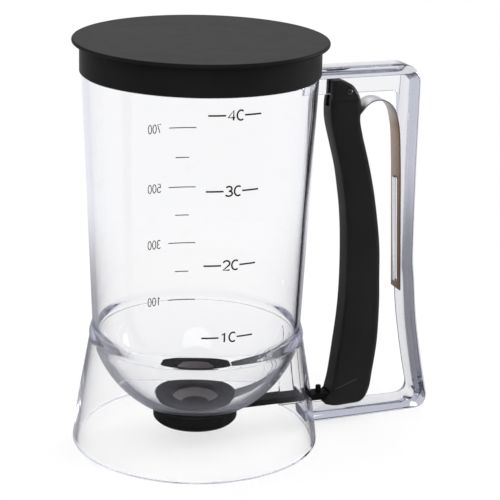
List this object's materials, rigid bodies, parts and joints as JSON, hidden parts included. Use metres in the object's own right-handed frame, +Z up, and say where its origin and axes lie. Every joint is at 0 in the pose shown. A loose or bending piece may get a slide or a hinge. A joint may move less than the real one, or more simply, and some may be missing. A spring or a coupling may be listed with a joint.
{
  "type": "batter dispenser",
  "caption": "Hand-held batter dispenser: clear measuring container with a bowl-shaped bottom on a flared skirt, lift-off lid, clear handle and a sprung trigger that opens a slide valve.",
  "frame": {"origin": "centre of the whole object's box, on the surface that the skirt stands on", "axes": "+Z up along the container's axis, +X from the container towards the handle"},
  "size_m": [0.1738, 0.114, 0.1881],
  "materials": {
    "clear_plastic": "clear, glossy, faintly lavender where it is thick",
    "lid_plastic": "matt black, fine moulded grain",
    "trigger_plastic": "satin black",
    "valve_plastic": "satin black",
    "soft_seal": "translucent silicone, soft sheen",
    "spring_steel": "rolled strip, satin",
    "pin_steel": "bright, domed ends"
  },
  "bodies": {
    "jug": {"container": "clear_plastic", "bowl": "clear_plastic", "skirt": "clear_plastic", "slide_guide_front": "clear_plastic", "slide_guide_rear": "clear_plastic", "handle_top_arm": "clear_plastic", "handle_grip": "clear_plastic", "handle_low_arm": "clear_plastic", "valve_flange": "valve_plastic", "flange_gasket": "soft_seal", "outlet_seal": "soft_seal", "valve_collar": "valve_plastic", "trigger_pin": "pin_steel", "leaf_spring": "spring_steel"},
    "lid": {"lid": "lid_plastic"},
    "trigger": {"trigger": "trigger_plastic"},
    "valve_slide": {"valve_slide": "valve_plastic"}
  },
  "joints": [
    {"name": "lid_lift", "type": "slide", "parent": "jug", "child": "lid", "axis": [0, 0, 1], "range_m": [0, 0.06]},
    {"name": "trigger_squeeze", "type": "hinge", "parent": "jug", "child": "trigger", "pos_m": [0.04, 0, 0.1611], "axis": [0, -1, 0], "range_deg": [0, 4.9], "stiffness_Nm_per_rad": 6, "springref_deg": -1.72, "deforming": ["leaf_spring"]},
    {"name": "slide_travel", "type": "slide", "parent": "jug", "child": "valve_slide", "axis": [1, 0, 0], "range_m": [0, 0.0128]}
  ],
  "couplings": [
    {"joint": "slide_travel", "follows": "trigger_squeeze", "m_per_rad": 0.1483}
  ]
}
